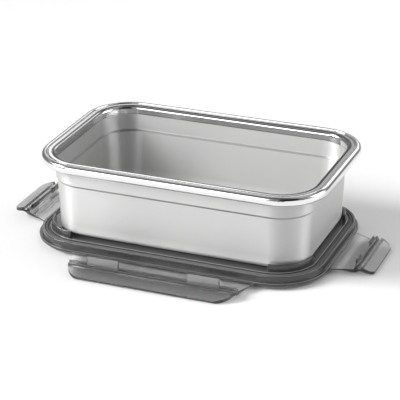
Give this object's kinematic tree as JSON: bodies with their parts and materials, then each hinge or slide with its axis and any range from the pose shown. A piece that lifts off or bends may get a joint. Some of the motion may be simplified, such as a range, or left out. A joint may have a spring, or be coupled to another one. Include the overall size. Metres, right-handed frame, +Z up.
{
  "type": "lunch box",
  "caption": "Rectangular pressed-steel food container with a rolled rim, standing on its upturned translucent locking lid whose hooked side flaps lie open on living hinges.",
  "frame": {"origin": "on the table, under the middle of the upturned lid", "axes": "+X along the long side to the right, +Y towards the back, +Z up"},
  "size_m": [0.268, 0.2012, 0.0659],
  "materials": {
    "steel": "satin walls with a polished rolled rim",
    "smoke_plastic": "smoky translucent, glossy",
    "hinge_film": "thin flexible strip of the lid's plastic",
    "silicone": "soft matte silicone, about the grey of the lid"
  },
  "bodies": {
    "lid": {"lid_panel": "smoke_plastic", "seal_gasket": "silicone", "hinge_web_front": "hinge_film", "hinge_web_back": "hinge_film", "hinge_web_left": "hinge_film", "hinge_web_right": "hinge_film"},
    "container": {"container": "steel"},
    "front_flap": {"flap_front": "smoke_plastic"},
    "back_flap": {"flap_back": "smoke_plastic"},
    "left_flap": {"flap_left": "smoke_plastic"},
    "right_flap": {"flap_right": "smoke_plastic"}
  },
  "joints": [
    {"name": "container_lift", "type": "slide", "parent": "lid", "child": "container", "axis": [0, 0, 1], "range_m": [0, 0.08]},
    {"name": "front_flap_hinge", "type": "hinge", "parent": "lid", "child": "front_flap", "pos_m": [0, -0.0706, 0.00385], "axis": [-1, 0, 0], "range_deg": [-0.3, 90]},
    {"name": "back_flap_hinge", "type": "hinge", "parent": "lid", "child": "back_flap", "pos_m": [0, 0.0706, 0.00385], "axis": [1, 0, 0], "range_deg": [-0.3, 90]},
    {"name": "right_flap_hinge", "type": "hinge", "parent": "lid", "child": "right_flap", "pos_m": [0.1063, 0, 0.00385], "axis": [0, -1, 0], "range_deg": [-0.3, 90]},
    {"name": "left_flap_hinge", "type": "hinge", "parent": "lid", "child": "left_flap", "pos_m": [-0.1063, 0, 0.00385], "axis": [0, 1, 0], "range_deg": [-10.3, 80]}
  ]
}
